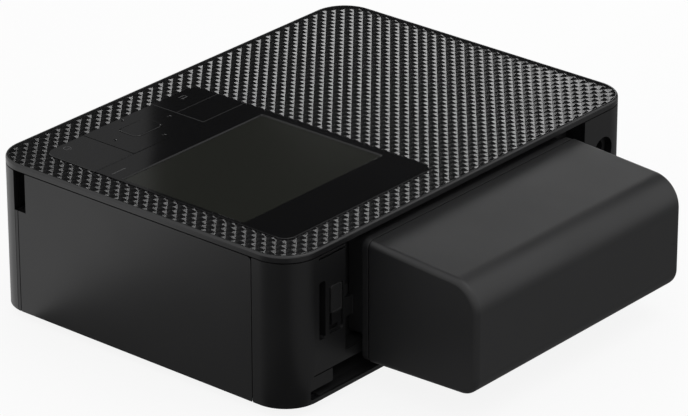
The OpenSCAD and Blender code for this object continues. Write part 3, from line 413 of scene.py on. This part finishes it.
def make_panel():
    low = (PANEL_X[0] + KEY_GAP, KEY_LINE_Y, PANEL_Z[0])
    high = (PANEL_X[1] - KEY_GAP, PANEL_Y[1] - KEY_GAP, PANEL_Z[1])
    panel = block("panel_glass", low, high)
    upright = along(2)
    bevel_edges(panel, lambda c: upright(c) and c[0].y > 0, PANEL_R - KEY_GAP, 12)
    top = PANEL_Z[1] - SCREEN_DEPTH
    cut(panel, rounded_block("recess", (SCREEN_X[0], SCREEN_Y[0], top), (SCREEN_X[1], SCREEN_Y[1], CUT_Z[1]),
                             SCREEN_R, 4))
    return eased(panel, PANEL_EDGE, 3)


finish_piece(make_panel(), "printer", "gloss_panel", acrylic, "panel_window")


def make_screen_face():
    """The screen's own face, flush on the floor of the recess."""
    floor_z = PANEL_Z[1] - SCREEN_DEPTH
    inset, sunk, proud = 0.35, 0.1, 0.06
    face = rounded_block("screen_face", (SCREEN_X[0] + inset, SCREEN_Y[0] + inset, floor_z - sunk),
                         (SCREEN_X[1] - inset, SCREEN_Y[1] - inset, floor_z + proud), 0.5, 4)
    return eased(face, proud / 2, 1)


finish_piece(make_screen_face(), "printer", "screen_glass", screen_mat)

for node, name in (("power_key", "power_cap"), ("return_key", "return_cap"), ("menu_key", "menu_cap"),
                   ("nav_plate", "cross_cap"), ("ok_button", "ok_cap")):
    finish_piece(eased(from_cad(node, name), KEY_ROUND, 3), node, "gloss_panel",
                 power_mat if node == "power_key" else acrylic, node)


# ---- signs printed on the keys ----

INK_Z = (57.25, 57.315)
INK_MIDDLE = sum(INK_Z) / 2
INK_DEPTH = INK_Z[1] - INK_Z[0]
POWER_SIGN = (70.1, -74.2)
ARROW_SIGN = (12.8, -73.75)
LAMP_X = (69.4, 76.0)
LAMP_Y = (-48.4, -47.9)


def stroke(name, x, y):
    """A flat bar of ink between two X and two Y."""
    return block(name, (x[0], y[0], INK_Z[0]), (x[1], y[1], INK_Z[1]))


def make_power_sign(x, y):
    """A ring, open at the top, with a bar in the opening."""
    sign = drum("power_sign", (x, y, INK_MIDDLE), 1.5, INK_DEPTH)
    cut(sign, drum("hollow", (x, y, INK_MIDDLE), 1.1, 4))
    cut(sign, block("gap", (x - 0.5, y, CUT_Z[0]), (x + 0.5, y + 3, CUT_Z[1])))
    return join(sign, stroke("bar", (x - 0.2, x + 0.2), (y + 0.2, y + 1.9)))


def make_back_arrow(x, y):
    """Three bars that turn back, with a triangle for the head."""
    sign = stroke("back_arrow", (x - 1.6, x + 1.2), (y - 1.0, y - 0.65))
    rise = stroke("rise", (x - 1.6, x - 1.25), (y - 0.7, y + 0.95))
    over = stroke("over", (x - 1.4, x + 0.6), (y + 0.6, y + 0.95))
    head = drum("head", (x + 0.9, y + 0.78, INK_MIDDLE), 0.75, INK_DEPTH, 3)
    return join(sign, rise, over, head)


finish_piece(make_power_sign(*POWER_SIGN), "power_key", "gloss_panel", ink)
finish_piece(make_back_arrow(*ARROW_SIGN), "return_key", "gloss_panel", ink)
lamp_line = rounded_block("lamp_window", (LAMP_X[0], LAMP_Y[0], INK_Z[0]),
                          (LAMP_X[1], LAMP_Y[1], INK_Z[1]), 0.2, 4)
finish_piece(eased(lamp_line, 0.01, 1), "printer", "gloss_panel", ink)


# ---- covers with eased edges ----

for node, name, width in (("main_shell", "main_case", 0.12), ("front_shell", "front_case", 0.12),
                          ("rear_post", "rear_corner", 0.12), ("rear_sill", "exit_sill", 0.15),
                          ("door_frame", "door_surround", 0.12),
                          ("ink_door", "door_panel", 0.15), ("paper_door", "front_flap", 0.2)):
    body = node if node in frame["bodies"] else "printer"
    finish_piece(eased(from_cad(node, name), width), body, "case_plastic", case_abs, node)

finish_piece(eased(from_cad("lock_slider", "lock_knob"), 0.15), "lock_slider", "inner_plastic", inner_abs,
             "lock_slider")
finish_piece(eased(from_cad("battery_base", "battery_cover"), 0.2), "battery", "satin_plastic", battery_abs,
             "battery_base")


# ---- battery's body ----

PACK_X = 55.05
PACK_Y = (45.5, 90.35)
PACK_Z = (9.2, 53.2)
PACK_TOP_FALL = -2.98
PACK_BASE_RISE = 1.42
PACK_TOP_R = 10.1
PACK_BASE_R = 6.6
PACK_END_R = 2.2
PACK_SEAM_R = 0.25
OUTER_Y = 80
MIDDLE_Z = 30


def make_battery():
    body = block("battery_body", (-PACK_X, PACK_Y[0], PACK_Z[0]), (PACK_X, PACK_Y[1], PACK_Z[1]))
    # the top falls and the underside rises towards the outer face
    for above, shift in ((True, PACK_TOP_FALL), (False, PACK_BASE_RISE)):
        choose(body, "verts", lambda c: c[0].y > OUTER_Y and (c[0].z > MIDDLE_Z) == above)
        bpy.ops.transform.translate(value=(0, 0, shift * MM))
        done()
    # the two long outer edges, then the edges of both ends, then the seam
    bevel_edges(body, lambda c: min(p.y for p in c) > OUTER_Y and min(p.z for p in c) > MIDDLE_Z,
                PACK_TOP_R, 18)
    bevel_edges(body, lambda c: min(p.y for p in c) > OUTER_Y and max(p.z for p in c) < MIDDLE_Z,
                PACK_BASE_R, 14)
    bevel_edges(body, lambda c: min(abs(p.x) for p in c) > PACK_X - 0.05 and c[0].x * c[1].x > 0
                and max(p.y for p in c) > PACK_Y[0] + 0.1, PACK_END_R, 6)
    bevel_edges(body, lambda c: max(p.y for p in c) < PACK_Y[0] + 0.01, PACK_SEAM_R, 2)
    return smooth(body, 40)


finish_piece(make_battery(), "battery", "satin_plastic", battery_abs, "battery_shell")

MARK_PLACE = (-51.15, 90.34, 27.85)
MARK_SIZE = (2.8, 0.06, 0.4)
MARK_SLANT = -18
# Corners of the matt black block of painted shade in the blind slot.
SLOT_LOW = (73.4, 39.4, 24.8)
SLOT_HIGH = (76.3, 40.2, 45.2)


def make_battery_mark():
    """A small slanting mark moulded on the battery's outer face."""
    bpy.ops.object.select_all(action="DESELECT")
    bpy.ops.mesh.primitive_cube_add(size=1, location=[v * MM for v in MARK_PLACE],
                                    scale=[v * MM for v in MARK_SIZE],
                                    rotation=(0, math.radians(MARK_SLANT), 0))
    return eased(named("slant_mark"), 0.02, 1)


finish_piece(make_battery_mark(), "battery", "satin_plastic", inner_abs)
# a matt black block laid in the blind slot beside the slider: painted shade that darkens the slot's inside
slot_shade_block = rounded_block("slot_shade_block", SLOT_LOW, SLOT_HIGH, 0.7, 6, axis=1)
finish_piece(eased(slot_shade_block, 0.05, 1), "printer", "inner_plastic", inner_abs)


# ---- stage, lights and camera ----

def shown(tree, rays):
    """1 for the rays by which the camera, metal and glass see the white background."""
    seen = add(tree, "ShaderNodeMath", [(0, rays, "Is Camera Ray"), (1, rays, "Is Glossy Ray")],
               operation="MAXIMUM")
    return add(tree, "ShaderNodeMath", [(0, seen, "Value"), (1, rays, "Is Transmission Ray")],
               operation="MAXIMUM")


# Share of the floor's white that doesn't depend on the lights.
FLOOR_OWN = 0.88


def make_floor():
    bpy.ops.object.select_all(action="DESELECT")
    bpy.ops.mesh.primitive_plane_add(size=6, location=(0, 0, 0))
    floor = named("floor")
    mat = bpy.data.materials.new("white_sweep")
    mat.use_nodes = True
    tree = mat.node_tree
    paper = tree.nodes["Principled BSDF"]
    paper.inputs["Base Color"].default_value = linear("#f2f2f2")
    paper.inputs["Roughness"].default_value = 0.9
    rays = add(tree, "ShaderNodeLightPath")
    # the rest of its white is lit, so that a soft shadow stays
    share = add(tree, "ShaderNodeMath", [(0, shown(tree, rays), "Value")], {1: FLOOR_OWN},
                operation="MULTIPLY")
    glow = add(tree, "ShaderNodeEmission", inputs={"Color": (1, 1, 1, 1), "Strength": 1.0})
    mixed = add(tree, "ShaderNodeMixShader", [("Fac", share, "Value")])
    tree.links.new(paper.outputs["BSDF"], mixed.inputs[1])
    tree.links.new(glow.outputs["Emission"], mixed.inputs[2])
    tree.links.new(mixed.outputs["Shader"], tree.nodes["Material Output"].inputs["Surface"])
    floor.data.materials.append(mat)


def make_world(ambient):
    world = bpy.data.worlds.new("studio")
    bpy.context.scene.world = world
    world.use_nodes = True
    tree = world.node_tree
    tree.nodes.clear()
    rays = add(tree, "ShaderNodeLightPath")
    soft = add(tree, "ShaderNodeBackground", inputs={"Color": (1, 1, 1, 1), "Strength": ambient})
    white = add(tree, "ShaderNodeBackground", inputs={"Color": (1, 1, 1, 1), "Strength": 1.0})
    mixed = add(tree, "ShaderNodeMixShader", [("Fac", shown(tree, rays), "Value")])
    tree.links.new(soft.outputs["Background"], mixed.inputs[1])
    tree.links.new(white.outputs["Background"], mixed.inputs[2])
    add(tree, "ShaderNodeOutputWorld", [("Surface", mixed, "Shader")])


def dark_card(name, middle, size, level, turn=0.0):
    """A photographer's dark card: out of the picture, it only darkens what the gloss mirrors."""
    bpy.ops.object.select_all(action="DESELECT")
    bpy.ops.mesh.primitive_cube_add(size=1, location=[v * MM for v in middle], scale=[v * MM for v in size],
                                    rotation=(0, 0, math.radians(turn)))
    card = named(name)
    mat = bpy.data.materials.new(name + "_felt")
    mat.use_nodes = True
    tree = mat.node_tree
    felt = add(tree, "ShaderNodeEmission", inputs={"Color": (1, 1, 1, 1), "Strength": level})
    tree.links.new(felt.outputs["Emission"], tree.nodes["Material Output"].inputs["Surface"])
    card.data.materials.append(mat)
    card.visible_camera = False
    card.visible_diffuse = False
    card.visible_shadow = False
    card.visible_transmission = False


def soft_box(name, place, aim, size, power):
    """A rectangular area light at a place in mm, turned to its aim."""
    bpy.ops.object.light_add(type="AREA", location=[v * MM for v in place])
    lamp = bpy.context.object
    lamp.name = name
    lamp.data.shape = "RECTANGLE"
    lamp.data.size = size[0] * MM
    lamp.data.size_y = size[1] * MM
    lamp.data.energy = power
    direction = Vector([(a - p) for a, p in zip(aim, place)])
    lamp.rotation_euler = direction.to_track_quat("-Z", "Y").to_euler()


# The camera that was solved from the photograph's straight edges: degrees, mm, and pixels of 688.
CAMERA_AZIMUTH = 130.277
CAMERA_ELEVATION = 24.674
CAMERA_ROLL = -0.088
CAMERA_TARGET = (6.614, -6.022, 33.0)
CAMERA_DISTANCE = 1454.85
FOCAL_PIXELS = 4280.17
PHOTO_PIXELS = 688


def make_camera():
    azimuth = math.radians(CAMERA_AZIMUTH)
    elevation = math.radians(CAMERA_ELEVATION)
    roll = math.radians(CAMERA_ROLL)
    target = Vector(CAMERA_TARGET) * MM
    back = Vector((math.sin(azimuth) * math.cos(elevation), -math.cos(azimuth) * math.cos(elevation),
                   math.sin(elevation)))
    level = Vector((0, 0, 1)).cross(back).normalized()
    upright = back.cross(level)
    right = level * math.cos(roll) + upright * math.sin(roll)
    up = back.cross(right)
    data = bpy.data.cameras.new("camera")
    data.sensor_width = 36
    data.lens = FOCAL_PIXELS / PHOTO_PIXELS * data.sensor_width
    camera = bpy.data.objects.new("camera", data)
    bpy.context.scene.collection.objects.link(camera)
    spot = target + back * CAMERA_DISTANCE * MM
    camera.matrix_world = Matrix.Translation(spot) @ Matrix((right, up, back)).transposed().to_4x4()
    bpy.context.scene.camera = camera


make_floor()
make_world(0.75)
# Two tall cards behind the printer, which the lid and the panel mirror, and a greyer one for the keys.
dark_card("back_card", (-900, -1250, 2050), (1100, 10, 4000), 0.03)
dark_card("key_card", (-780, -1238, 830), (860, 8, 360), 0.2)
dark_card("side_card", (-1250, -500, 2050), (10, 1500, 4000), 0.03)
# Three on the table at the camera's side, which the walls mirror: the strip is the back corner's dark line.
dark_card("table_card", (150, 560, 0.5), (2100, 1270, 0.4), 0.2)
dark_card("corner_card", (427, 127, 1.2), (500, 500, 0.4), 0.06, -30)
dark_card("corner_strip", (279.5, 198.75, 1.8), (500, 36, 0.4), 0.0, 40)
# A wide light above, and a low one that only one side of each small pyramid mirrors.
soft_box("overhead", (-150, 250, 700), (0, -20, 50), (500, 500), 1)
soft_box("low_light", (-545, -320, 254), (-20, -10, 57), (290, 84), 0.36)
make_camera()
bpy.context.scene.view_settings.view_transform = "Standard"
